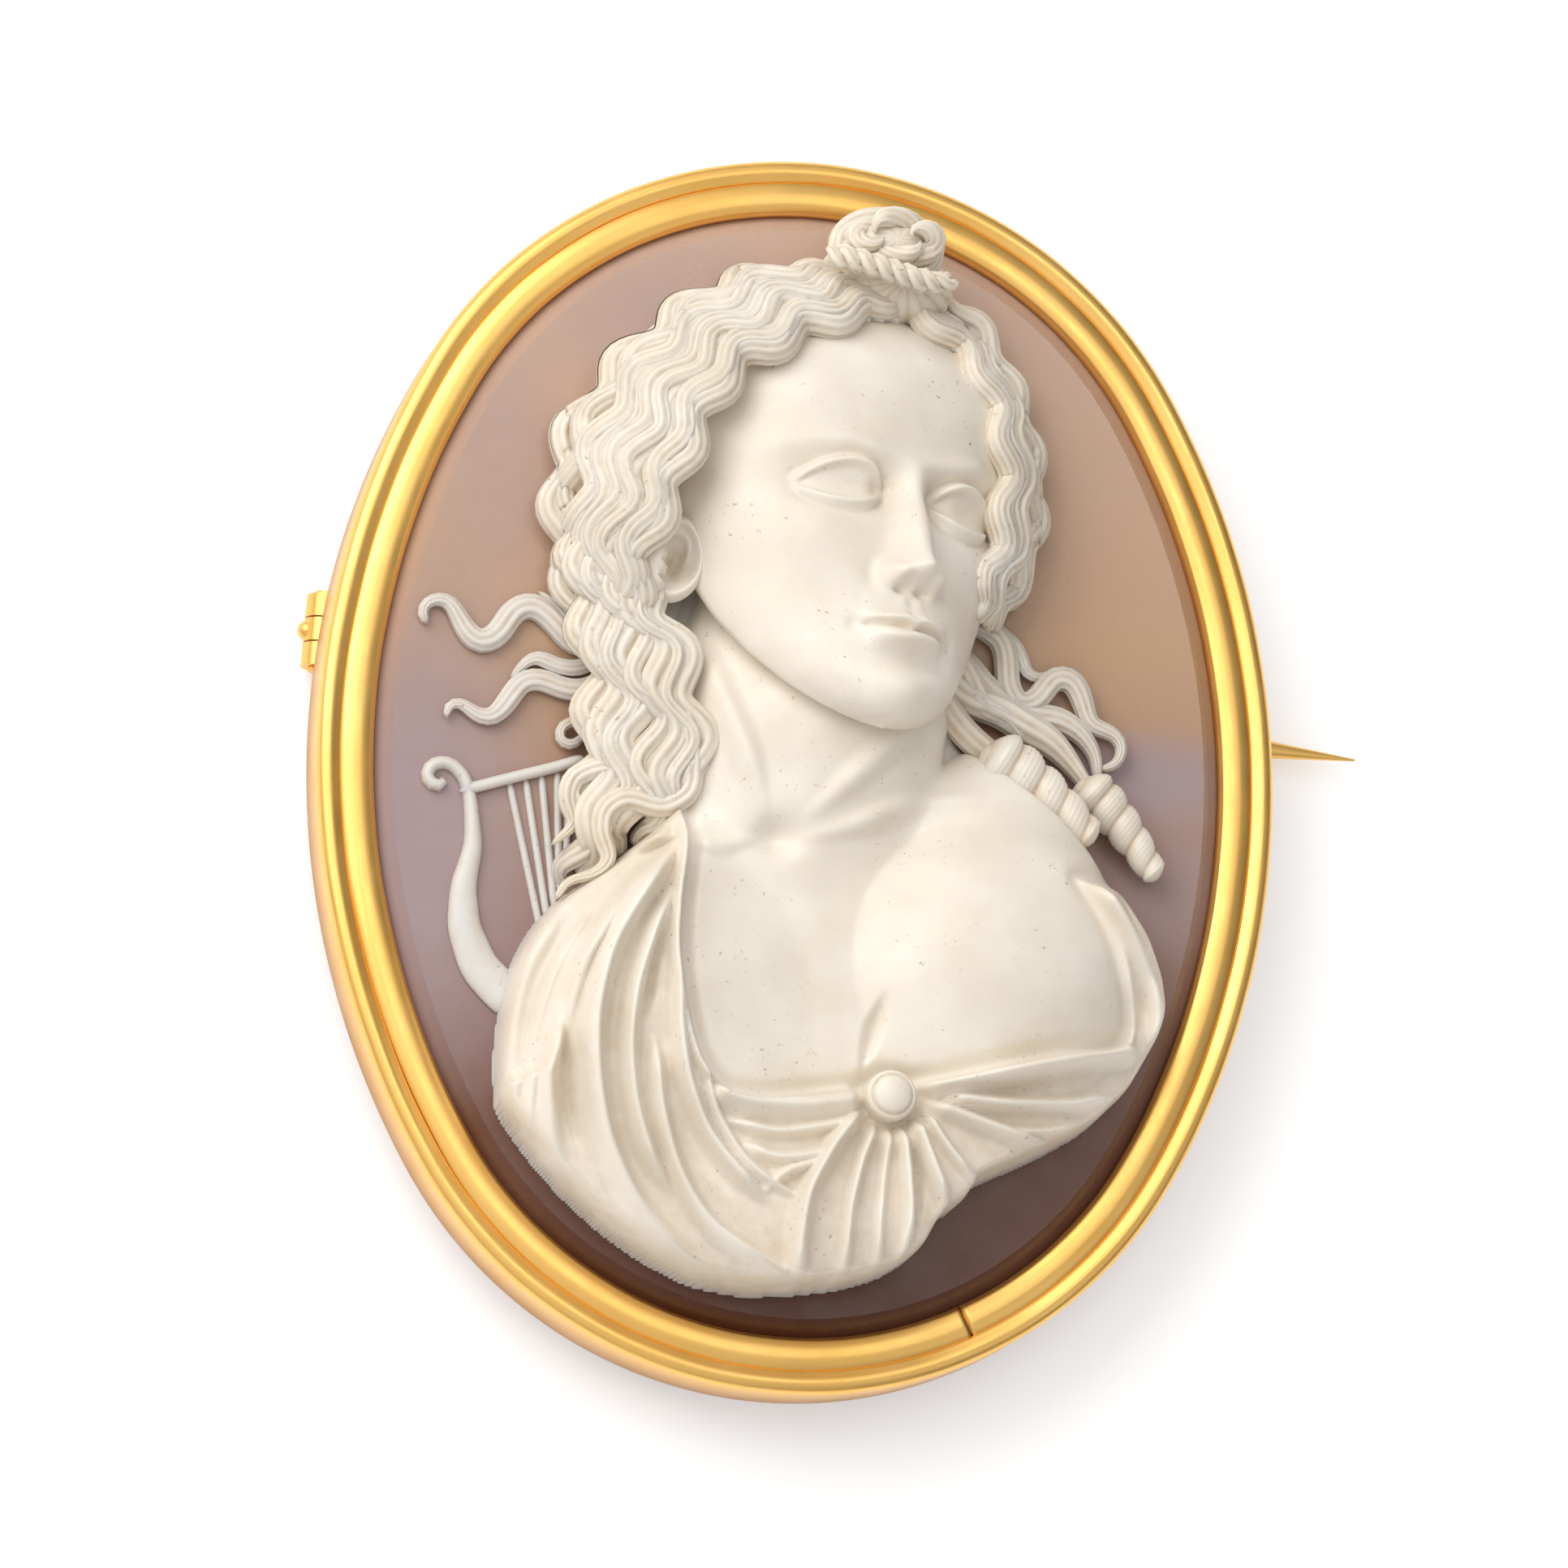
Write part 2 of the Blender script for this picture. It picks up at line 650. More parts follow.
def head_shape(u, v):
    low, high = HEAD_SECTIONS[0, 0], HEAD_SECTIONS[-1, 0]
    rise = 0.75 * v + 0.25 * (1 - np.cos(math.pi * v)) / 2
    y = low + (high - low) * rise
    half, front, mid, square = smooth_table(HEAD_SECTIONS, y)
    ends = np.clip(np.minimum(v, 1 - v) / 0.02, 0, 1)
    half = np.clip(half, 0, 1) * np.sqrt(ends)
    angle = (2 * u - 1) * math.pi
    swing = 0.72 * angle + 0.28 * angle ** 3 / math.pi ** 2
    s, c = np.sin(swing), np.cos(swing)
    x = half * np.sign(s) * np.abs(s) ** square
    reach = np.where(c > 0, (front - mid) * np.abs(c) ** square, 0.35 * (front - mid) * c)
    facing = ease(c / 0.35)
    relief = (face_relief(x, y) + eye_relief(x, y) + mouth_relief(x, y)) * facing
    z = mid + reach * np.where(ends < 1, np.sqrt(ends), 1) + relief * ends
    return set_head(x, y, z), np.clip(-relief * 6, 0, 0.5)


head = sculpt("figure_head", [(HEAD_AROUND, HEAD_ALONG, head_shape)])

# %% [markdown]
# The locks of hair have to lie on the head, so its height over the stone is read back once into a
# map with one value for each fifth of a millimetre.

# %% Height of the head over the stone
MAP_STEP = 0.2
MAP_LOW = np.array([-FLAT_W, -FLAT_H])
MAP_SIZE = (int(2 * FLAT_W / MAP_STEP) + 1, int(2 * FLAT_H / MAP_STEP) + 1)


def map_cells(points):
    cells = np.round((np.asarray(points)[:, :2] - MAP_LOW) / MAP_STEP).astype(int)
    return tuple(np.clip(cells, 0, np.array(MAP_SIZE) - 1).T)


spots = np.zeros(len(head.data.vertices) * 3)
head.data.vertices.foreach_get("co", spots)
spots = (spots.reshape(-1, 3) - MIDDLE) / MM
head_map = np.full(MAP_SIZE, -5.0)
np.maximum.at(head_map, map_cells(spots), spots[:, 2])
HAIR_MIDDLE = (-0.5, 12.3)
HAIR_HALF = (10.7, 10.0)
HAIR_TOP = 6.9
HAIR_FOOT = 1.3


def hair_dome(points):
    """Height of the hair's rounded mass under its locks."""
    shares = np.abs((np.asarray(points)[:, :2] - HAIR_MIDDLE) / HAIR_HALF) ** 2.2
    return HAIR_TOP * np.sqrt(np.clip(1 - shares.sum(1), 0, 1))


print("head stands", round(spots[:, 2].max(), 2), "mm over the ground")

# %% [markdown]
# The shoulders, the breast and the cloth are one relief. A cloth simulation would fall in folds
# of its own, and these have to follow the carver's. A relief has a single height at each place,
# so its height is worked out at every point of a fine grid: rounded masses first, then the
# cloth's thickness, then its folds as ridges and creases along curves. Outside the bust's outline
# the surface dips just under the ground, so the join with the brown layer is one clean line.

# %% The bust's outline and masses
# Space that the carving keeps from the edge of the flat face
EDGE_ROOM = 0.35

# Outline round the bust: photo pixel and the height in mm at which it is seen
OUTLINE = [
    (880, 680, 2), (822, 715, 2), (812, 780, 2.5), (824, 870, 3), (834, 940, 3), (830, 990, 2.5),
    (795, 1030, 2), (742, 1070, 2), (690, 1105, 2), (658, 1140, 1.5), (634, 1185, 1.5),
    (620, 1245, 1.5), (614, 1300, 1.5), (618, 1360, 2), (617, 1430, 3), (640, 1470, 3),
    (680, 1510, 3), (740, 1545, 3), (800, 1560, 4), (870, 1575, 4.5), (940, 1579, 5),
    (1000, 1578, 5), (1060, 1571, 5), (1110, 1557, 5), (1150, 1532, 5), (1168, 1492, 5),
    (1206, 1470, 5), (1212, 1449, 5), (1300, 1412, 4.5), (1355, 1382, 4.2), (1402, 1338, 4),
    (1436, 1292, 3.5), (1450, 1245, 3), (1441, 1200, 3), (1421, 1150, 2.5), (1392, 1108, 2.2),
    (1350, 1060, 2), (1300, 1010, 2), (1250, 965, 2.2), (1200, 920, 2.5), (1178, 870, 3),
    (1170, 790, 3), (1140, 700, 2)
]
outline = np.array([over_stone(*spot) for spot in OUTLINE])
fullness = np.hypot(outline[:, 0] / (FLAT_W - EDGE_ROOM), outline[:, 1] / (FLAT_H - EDGE_ROOM))
outline /= np.maximum(fullness, 1)[:, None]
outline = smooth_path(closed(outline), 320, 0.04)

# %% Masses and distances
# Masses: across, up, half width, half height, turn in degrees, foot, rise, all in mm
BUST_MASSES = [
    (1.5, -13.1, 17.5, 13.8, 0, 0.9, 3.5),
    (8.0, -9.4, 7.0, 6.9, 0, 1.9, 4.5),
    (8.6, -3.6, 5.6, 4.6, 35, 1.0, 3.4),
    (-6.6, -12.4, 7.7, 10.9, 8, 1.6, 3.5),
    (0.6, -19.6, 9.8, 5.6, 0, 2.0, 3.0),
    (0.1, 2.2, 6.2, 11.0, -6, 1.3, 3.7),
    (-7.0, -5.5, 5.6, 5.0, 30, 0.8, 2.8)
]


def mass_height(mass, x, y):
    ax, ay, half_x, half_y, angle, foot, rise = mass
    c, s = math.cos(math.radians(angle)), math.sin(math.radians(angle))
    dx = (x - ax) * c + (y - ay) * s
    dy = (y - ay) * c - (x - ax) * s
    q = (dx / half_x) ** 2 + (dy / half_y) ** 2
    return foot + rise * np.sqrt(np.clip(1 - q, 0, 1)) - 3.0 * np.clip(q - 1, 0, 2)


def path_distance(x, y, path):
    """Distance in mm from points to a path, and the share of the path at its nearest place."""
    best = np.full(x.shape, 1e9)
    share = np.zeros(x.shape)
    count = len(path) - 1
    for k in range(count):
        ax, ay = path[k]
        dx, dy = path[k + 1] - path[k]
        t = np.clip(((x - ax) * dx + (y - ay) * dy) / (dx * dx + dy * dy + 1e-12), 0, 1)
        far = np.hypot(x - ax - t * dx, y - ay - t * dy)
        nearer = far < best
        best = np.where(nearer, far, best)
        share = np.where(nearer, (k + t) / count, share)
    return best, share


def inside(x, y, ring):
    """True where a point lies inside a closed ring."""
    found = np.zeros(x.shape, bool)
    for k in range(len(ring) - 1):
        ax, ay = ring[k]
        bx, by = ring[k + 1]
        crosses = (ay > y) != (by > y)
        at = ax + (y - ay) * (bx - ax) / (by - ay + 1e-12)
        found ^= crosses & (x < at)
    return found


def depth_inside(x, y, ring):
    """Distance in mm to a closed ring, below zero outside it."""
    far, share = path_distance(x, y, ring)
    return np.where(inside(x, y, ring), far, -far)


print("the bust's outline is", round(steps_along(outline)[1], 1), "mm round")

# %% [markdown]
# The cloth lies over the far shoulder, runs down beside the neck as a rolled edge, turns along a
# band to the button and goes on under the bare breast. Each fold is a curve with a half width, a
# rise and a share of its length over which its ends die out.

# %% Edge of the cloth
CLOTH_LIFT = 4.5
NECKLINE = [
    (846, 985), (852, 1040), (840, 1100), (834, 1160), (838, 1215), (846, 1262), (860, 1310),
    (888, 1345), (940, 1352), (1010, 1345), (1075, 1338), (1138, 1333), (1200, 1322),
    (1258, 1310), (1313, 1298), (1370, 1292), (1402, 1275), (1396, 1235), (1382, 1180),
    (1362, 1130), (1330, 1085)
]
BELOW = [(1500, 1085), (1500, 1640), (560, 1640), (560, 985)]
neckline = guide(NECKLINE, CLOTH_LIFT)
cloth_ring = closed(np.vstack([smooth_path(neckline, 120), guide(BELOW, CLOTH_LIFT)]))

# %% Folds of the cloth
# Folds: half width, rise, end share, photo pixels
FOLDS = [
    (0.95, 0.95, 0.05, NECKLINE[:8]),
    (1.20, 0.75, 0.08, [(868, 1335), (905, 1360), (980, 1364), (1068, 1356)]),
    (0.55, 0.55, 0.15, [(880, 1378), (950, 1400), (1030, 1388), (1080, 1368)]),
    (1.00, 1.05, 0.10, [(848, 1025), (790, 1098), (745, 1170), (726, 1254), (728, 1331), (743, 1408),
                        (781, 1485), (830, 1538), (900, 1585)]),
    (0.75, 0.80, 0.12, [(836, 1075), (800, 1150), (777, 1215), (768, 1290), (775, 1360), (795, 1425),
                        (835, 1485)]),
    (0.75, 0.80, 0.10, [(838, 1130), (828, 1254), (838, 1330), (863, 1397), (907, 1452), (950, 1490)]),
    (0.70, 0.75, 0.10, [(800, 1270), (806, 1364), (830, 1446), (868, 1510), (935, 1556), (1000, 1590)]),
    (0.95, 0.95, 0.10, [(775, 1095), (714, 1172), (684, 1254), (670, 1331), (684, 1430), (720, 1495),
                        (775, 1545), (830, 1580)]),
    (0.55, 0.55, 0.12, [(740, 1108), (690, 1185), (664, 1270), (655, 1350), (662, 1420)]),
    (0.80, 0.75, 0.15, [(705, 1112), (662, 1165), (640, 1227), (634, 1300), (640, 1370)]),
    (0.70, 0.60, 0.12, [(640, 1390), (664, 1455), (706, 1505), (770, 1548)]),
    (0.50, 0.50, 0.20, [(856, 1280), (874, 1370), (914, 1436), (965, 1474), (1000, 1482)]),
    (0.45, 0.45, 0.20, [(845, 1300), (862, 1375), (890, 1425), (930, 1462)]),
    (0.80, 0.85, 0.10, [(1066, 1360), (1022, 1410), (986, 1474), (978, 1540), (985, 1600)]),
    (0.55, 0.65, 0.10, [(1080, 1378), (1055, 1430), (1040, 1490), (1036, 1560), (1040, 1600)]),
    (0.50, 0.60, 0.10, [(1094, 1384), (1082, 1440), (1076, 1507), (1080, 1580)]),
    (0.55, 0.70, 0.10, [(1106, 1382), (1112, 1440), (1116, 1500), (1106, 1575)]),
    (0.70, 0.85, 0.08, [(1122, 1378), (1142, 1435), (1164, 1490), (1158, 1540)]),
    (0.45, 0.55, 0.12, [(1136, 1368), (1162, 1412), (1190, 1446), (1216, 1466)]),
    (0.70, 0.70, 0.10, [(1140, 1360), (1200, 1382), (1258, 1402), (1300, 1418)]),
    (1.00, 0.80, 0.05, [(1130, 1340), (1190, 1334), (1258, 1322), (1330, 1310), (1412, 1292)]),
    (0.70, 0.70, 0.10, [(1150, 1352), (1240, 1364), (1320, 1362), (1384, 1350)]),
    (0.45, 0.45, 0.15, [(1160, 1372), (1222, 1392), (1290, 1396), (1350, 1380)]),
    (0.80, 0.85, 0.10, [(1346, 1085), (1388, 1145), (1420, 1195), (1438, 1245), (1432, 1300)]),
    (0.60, 0.65, 0.12, [(1322, 1080), (1362, 1145), (1384, 1205), (1396, 1262), (1398, 1300)]),
    (0.60, 0.55, 0.15, [(900, 1406), (950, 1432), (1005, 1426), (1050, 1395)]),
    (0.55, 0.50, 0.20, [(930, 1480), (960, 1446), (1000, 1436), (1044, 1402)])
]

# %% Creases and sinews
# Creases cut into skin and cloth: half width, depth, end share, photo pixels
CREASES = [
    (0.55, 0.55, 0.30, [(1094, 1215), (1080, 1255), (1070, 1292), (1060, 1325)]),
    (0.40, 0.45, 0.20, [(815, 1120), (800, 1200), (788, 1270)]),
    (0.35, 0.40, 0.25, [(1090, 1385), (1080, 1440), (1072, 1520)]),
    (0.35, 0.40, 0.25, [(1124, 1395), (1128, 1450), (1130, 1520)]),
    (0.40, 0.40, 0.20, [(700, 1200), (695, 1270), (700, 1350), (718, 1430)]),
    (0.35, 0.35, 0.20, [(1160, 1342), (1250, 1344), (1330, 1336)])
]

# Bones and sinews that show through the skin, in mm: half width, rise, end share, points
SINEWS = [
    (1.10, 0.45, 0.25, [(-5.6, 6.5), (-4.6, 2.5), (-3.2, -0.8), (-2.3, -3.4)]),
    (1.00, 0.30, 0.25, [(5.6, 4.0), (3.4, 0.6), (0.6, -2.0), (-1.2, -3.5)]),
    (0.95, 0.35, 0.30, [(-1.2, -4.1), (1.5, -3.4), (4.6, -1.9), (7.8, -1.4)]),
    (0.80, 0.30, 0.30, [(-2.6, -4.0), (-4.6, -4.4), (-6.6, -4.0)])
]


# %% Height of the bust at every point
def along_curve(x, y, curve, half, end):
    """The shape of a fold across its curve, from 1 on the crest to 0 at its half width."""
    reach = 2 * half
    low, high = curve.min(0) - reach, curve.max(0) + reach
    near = (x > low[0]) & (x < high[0]) & (y > low[1]) & (y < high[1])
    out = np.zeros(x.shape)
    far, share = path_distance(x[near], y[near], curve)
    taper = ease(share / end / 1.5) * ease((1 - share) / end / 1.5)
    s = np.clip(far / (half * (0.45 + 0.55 * taper)), 0, 1)
    out[near] = (0.5 + 0.5 * np.cos(math.pi * s)) ** 1.25 * taper
    return out


def relief_of(x, y, rows, count, rise_by=1.0, half_by=1.0):
    """The highest of several folds at every point."""
    out = np.zeros(x.shape)
    for half, rise, end, pixels in rows:
        curve = smooth_path(guide(pixels, CLOTH_LIFT), count)
        out = np.maximum(out, rise_by * rise * along_curve(x, y, curve, half_by * half, end))
    return out


# The cloth over the far shoulder lies deeper than the folds in front of it
DEEP_CLOTH = [
    (838, 1035), (762, 1108), (716, 1190), (694, 1268), (668, 1326), (600, 1350), (540, 1300), (540, 1035)
]
DEEP_STEP = 1.25
CLOTH_THICK = 0.30
FOLD_RISE = 1.45
FOLD_WIDTH = 0.86
BUTTON = over_stone(1102, 1347, 6.0)
BUTTON_R = 1.12
EDGE_ROUND = 0.45
DIP = 0.3
THROAT = (-1.9, -3.9)


def bust_height(x, y, edge):
    """Height of the bust over the ground in mm, and how hollow it is, edge mm inside its outline."""
    height = mass_height(BUST_MASSES[0], x, y)
    for mass in BUST_MASSES[1:]:
        height = blend_up(height, mass_height(mass, x, y), 0.9)
    # The neck lies further back towards the jaw, and the throat is a small hollow
    height *= 1 - 0.45 * ease((y - 1.0) / 8.0)
    for half, rise, end, points in SINEWS:
        height = height + rise * along_curve(x, y, smooth_path(points, 24), half, end)
    height -= 0.75 * bump(x, THROAT[0], 1.0) * bump(y, THROAT[1], 0.8)
    deep = ease(depth_inside(x, y, closed(guide(DEEP_CLOTH, 3.0))) / 0.7)
    folds = relief_of(x, y, FOLDS, 40, FOLD_RISE, FOLD_WIDTH)
    folds *= (1 - 0.35 * deep) * (0.35 + 0.65 * ease(edge / 1.3))
    cuts = relief_of(x, y, CREASES, 30)
    in_cloth = depth_inside(x, y, cloth_ring)
    on_cloth = ease((in_cloth + 0.12) / 0.45)
    height += on_cloth * (CLOTH_THICK + folds) - DEEP_STEP * deep - cuts
    height -= 0.35 * bump(in_cloth, -0.25, 0.35) * (1 - on_cloth)
    height -= 0.4 * bump(np.hypot(x - BUTTON[0], y - BUTTON[1]), BUTTON_R + 0.15, 0.35)
    valley = (0.04 + 0.40 * np.clip(1 - folds / 0.50, 0, 1)) * on_cloth * (1 - 0.5 * deep)
    return height, np.clip(valley + cuts * 0.3, 0, 1)


# %% Carve the bust on a fine grid
BUST_STEP = 0.105
low = outline.min(0) - 0.6
high = outline.max(0) + 0.6
columns, rows = ((high - low) / BUST_STEP).astype(int)
bust_mesh, shares = flat_grids("figure_bust", [(int(columns), int(rows))])
bx, by = (low + (high - low) * shares[:, :2]).T
edge = depth_inside(bx, by, outline)
height, hollow = bust_height(bx, by, edge)
wall = np.sqrt(1 - (1 - np.clip(edge / EDGE_ROUND, 0, 1)) ** 2)
carved = np.where(edge > 0, np.maximum(height, 0.3) * wall, -DIP * np.clip(-edge / 0.12, 0, 1))
place_points(bust_mesh, np.stack([bx, by, carved], 1), hollow)
bm = bmesh.new()
bm.from_mesh(bust_mesh)
bm.verts.ensure_lookup_table()
outside = [bm.verts[k] for k in np.nonzero(edge < -0.3)[0]]
bmesh.ops.delete(bm, geom=outside, context="VERTS")
loose = [v for v in bm.verts if not v.link_faces]
bmesh.ops.delete(bm, geom=loose, context="VERTS")
close_rims(bm, -0.1)
bm.to_mesh(bust_mesh)
bm.free()
finish_piece("figure_bust", bust_mesh)

# %% [markdown]
# Hair is carved as locks. A curve with a round bevel would make plain pipes of them, so each one
# is a rolled-up grid instead: a long grooved tube, flat like a ribbon, that swells from a thin
# root and closes to a tip. Locks that lie side by side share one wave, so that they nest as
# combed hair does.

# %% Locks
def lock(path, half_wide, half_high, strands=3, twist=0.0, groove=0.22, root=0.12, tip=0.3, around=36,
         ends=(0.25, 0.15)):
    """One lock along a path of points in mm, as a part for sculpt()."""
    path = np.asarray(path, float)
    share, length = steps_along(path)
    along = max(12, int(length / 0.27))
    nudge = 0.5 / along

    def shape(u, v):
        ahead = read_path(path, share, np.clip(v + nudge, 0, 1))
        behind = read_path(path, share, np.clip(v - nudge, 0, 1))
        along_dir = ahead - behind
        along_dir /= np.linalg.norm(along_dir, axis=1)[:, None] + 1e-12
        aside = np.cross(along_dir, [0, 0, 1.0])
        aside /= np.linalg.norm(aside, axis=1)[:, None] + 1e-12
        over = np.cross(aside, along_dir)
        start = ends[0] + (1 - ends[0]) * ease(v / root)
        finish = ends[1] + (1 - ends[1]) * ease((1 - v) / tip)
        close = np.sqrt(np.clip(np.minimum(v, 1 - v) * along / 1.5, 0, 1))
        size = start * finish * close
        angle = 2 * math.pi * u
        wound = strands * (angle + twist * v * 2 * math.pi)
        ribs = np.abs(np.sin(wound))
        broad = 0.5 + 0.5 * np.cos(2 * wound / 3 + path[0, 0] * 5)
        radius = 1 - groove + groove * ribs ** 0.75 * (0.55 + 0.45 * broad)
        wide = half_wide * size * radius * np.cos(angle)
        high = half_high * size ** 0.6 * radius * np.sin(angle) * close
        points = read_path(path, share, v) + aside * wide[:, None] + over * high[:, None]
        return points, 0.12 + np.clip(1 - ribs, 0, 1) ** 1.4 * 0.8 + 0.15 * (1 - broad)

    return around, along, shape


# %% Waves and combed rows
def waved(plan, reach, size, phase, count=160):
    """A path in plan whose middle part swings from side to side."""
    path = smooth_path(plan, count)
    share, length = steps_along(path)
    swing = size * np.sin(2 * math.pi * share * length / reach + phase)
    swing *= ease(share / 0.12) * ease((1 - share) / 0.08)
    return path + beside(path) * swing[:, None]


def laid(plan, lift, lowest):
    """Puts a plan path on the hair's mass or on the head, whichever is higher."""
    height = np.maximum(hair_dome(plan), head_map[map_cells(plan)] - 0.1)
    for step in range(6):
        height[1:-1] = (height[:-2] + height[1:-1] + height[2:]) / 3
    return np.column_stack([plan, np.maximum(height, lowest) + lift])


chance = np.random.default_rng(11)
COMB_HIGH = 0.80


def comb(inner, outer, count, lift_px, reach, size, half_wide, phase, drift):
    """Locks side by side between two guides given in photo pixels, each a little different."""
    low_guide = smooth_path(guide(inner, lift_px), 60)
    high_guide = smooth_path(guide(outer, lift_px), 60)
    parts = []
    for k in range(count):
        mix = k / (count - 1)
        own_reach = reach * chance.uniform(0.96, 1.05)
        own_size = size * chance.uniform(0.8, 1.2)
        own_phase = phase + drift * k + chance.uniform(-0.3, 0.3)
        path = waved(low_guide * (1 - mix) + high_guide * mix, own_reach, own_size, own_phase)
        lift = chance.uniform(-0.05, 0.25)
        wide = half_wide * chance.uniform(0.9, 1.2)
        parts.append(lock(laid(path, lift, HAIR_FOOT), wide, COMB_HIGH, strands=int(chance.integers(4, 7)),
                          twist=0.15 * (-1) ** k, groove=0.24, tip=0.16, ends=(0.35, 0.45)))
    return parts


# %% [markdown]
# From the parting the hair runs down both sides of the face in close waves. On the near side it
# goes on behind the ear and over the shoulder.

# %% Hair on both sides of the face
LEFT_INNER = [
    (1130, 350), (1108, 368), (1068, 381), (1014, 393), (969, 417), (919, 440), (886, 472), (865, 505),
    (844, 545), (830, 590), (812, 632), (795, 672), (788, 715), (794, 765), (804, 810)
]
LEFT_OUTER = [
    (1066, 308), (1035, 306), (977, 314), (917, 334), (844, 378), (774, 438), (736, 486), (713, 532),
    (706, 592), (710, 645), (718, 690), (728, 735), (738, 780)
]
# The hairline down to the ear, inside which the face is bare
HAIRLINE = [(1122, 377)] + LEFT_INNER[2:10] + [(820, 640)]
RIGHT_INNER = [
    (1116, 352), (1136, 374), (1162, 392), (1192, 422), (1216, 460), (1232, 509), (1241, 555), (1242, 613),
    (1232, 675), (1216, 726), (1206, 760)
]
RIGHT_OUTER = [
    (1166, 338), (1188, 352), (1218, 381), (1246, 422), (1268, 472), (1284, 522), (1291, 584), (1291, 626),
    (1278, 679), (1260, 715), (1240, 765)
]
BACK_INNER = [
    (788, 700), (806, 748), (826, 793), (842, 845), (852, 890), (858, 940), (858, 1000)
]
BACK_OUTER = [
    (706, 640), (706, 700), (722, 752), (732, 819), (735, 893), (722, 960), (718, 1023),
    (700, 1085)
]
sculpt("hair_left", comb(LEFT_INNER, LEFT_OUTER, 9, 5.0, 3.4, 0.38, 0.74, 0.0, 0.30))
sculpt("hair_right", comb(RIGHT_INNER, RIGHT_OUTER, 5, 4.5, 3.2, 0.32, 0.62, 1.0, 0.35))
BACK_LOCKS = 8
BACK_HIGH = 0.85


def back_lock(mix, k):
    """A lock that hangs behind the ear and sinks towards the shoulder at its end."""
    inner = smooth_path(guide(BACK_INNER, 3.0), 60)
    outer = smooth_path(guide(BACK_OUTER, 2.2), 60)
    phase = 0.4 + 0.30 * k + chance.uniform(-0.45, 0.45)
    reach = 3.9 * chance.uniform(0.94, 1.06)
    plan = waved(inner * (1 - mix) + outer * mix, reach, chance.uniform(0.45, 0.65), phase)
    share = np.linspace(0, 1, len(plan))
    height = 2.9 - 1.1 * mix + 0.5 * np.sin(share * math.pi) - 0.5 * share * mix + chance.uniform(-0.2, 0.4)
    height -= 1.6 * ease((share - 0.86) / 0.14)
    wide = chance.uniform(0.62, 0.82)
    return lock(lifted(plan, height), wide, BACK_HIGH, strands=int(chance.integers(4, 7)),
                twist=0.15 * (-1) ** k, groove=0.24, tip=0.14, ends=(0.35, 0.5))


sculpt("hair_shoulder", [back_lock(k / (BACK_LOCKS - 1), k) for k in range(BACK_LOCKS)])

# %% [markdown]
# Under the locks lies a plain rounded mass, so that no gap opens between them. On the crown the
# combed hair swells up to the knot.

# %% The hair's mass
# Under the cheek and the jaw the mass stays away: photo pixels from the near ear to the far one
JAW_SIDE = [(798, 690), (800, 760), (850, 900), (1060, 920), (1200, 830)]
CROWN = over_stone(1108, 352, 3.5)


def hair_mass_shape(u, v):
    out = 0.955 * np.sin(v * math.pi / 2)
    x, y = oval_ring(HAIR_MIDDLE, HAIR_HALF[0] * out, HAIR_HALF[1] * out, 2 * math.pi * u)
    dome = hair_dome(np.column_stack([x, y]))
    height = np.where(v < 0.97, np.maximum(dome - 0.25, HAIR_FOOT), -0.2)
    far_side = guide(RIGHT_INNER[1:], 4.5)[::-1]
    face_ring = closed(np.vstack([guide(HAIRLINE, 5.0), guide(JAW_SIDE, 2.0), far_side]))
    bare = depth_inside(x, y, face_ring) > 0.4
    return np.column_stack([x, y, np.where(bare, np.minimum(height, 0.5), height)]), np.full(len(u), 0.35)


def ribbed_ball(middle, half, foot, rise, count, depth, lean):
    """The shape of a ball of combed hair, with ribs that lean as they rise."""
    def shape(u, v):
        angle = 2 * math.pi * u
        ribs = np.abs(np.sin(count * angle + lean * math.pi * v))
        out = np.sin(v * math.pi) * (1 - depth + depth * ribs ** 0.7)
        x, y = oval_ring(middle, half[0] * out, half[1] * out, angle)
        return np.column_stack([x, y, foot + rise / 2 * (1 - np.cos(v * math.pi))]), 0.8 - 0.6 * ribs

    return shape


crown_shape = ribbed_ball(CROWN, (2.7, 1.7), -0.2, 5.0, 9, 0.06, 0)
sculpt("hair_mass", [(90, 60, hair_mass_shape), (144, 40, crown_shape)])

# %% [markdown]
# The hair is gathered on the crown in a knot of wound locks, held by a twisted rope of hair. The
# knot is a ribbed ball with separate locks wound over it, because one spiral would look like a
# snail's shell, and the rope is two strands that turn round one path.

# %% The knot and its rope
KNOT = over_stone(1106, 294, 5.5)
# Locks of the knot: turns, start, half width, middle from the knot's, first and last distance
# from that middle, and foot and top
KNOT_COILS = [
    (1.1, 0.10, 0.60, 0.0, 0.0, 2.3, 2.0, 2.6, 4.2),
    (1.2, 0.40, 0.55, 0.95, 0.10, 1.30, 0.30, 3.9, 5.9),
    (1.2, 0.90, 0.52, -1.05, 0.05, 1.15, 0.30, 3.6, 5.5),
    (0.6, 0.95, 0.50, 0.0, 0.30, 1.25, 1.05, 4.3, 5.6),
    (0.5, 0.52, 0.48, 0.10, -0.10, 1.00, 0.90, 4.6, 5.7)
]
ROPE = [(1022, 306), (1044, 312), (1080, 326), (1114, 338), (1146, 345), (1172, 344), (1180, 334)]


ROPE_PITCH = 1.45
ROPE_SWING = 0.27
ROPE_R = 0.37


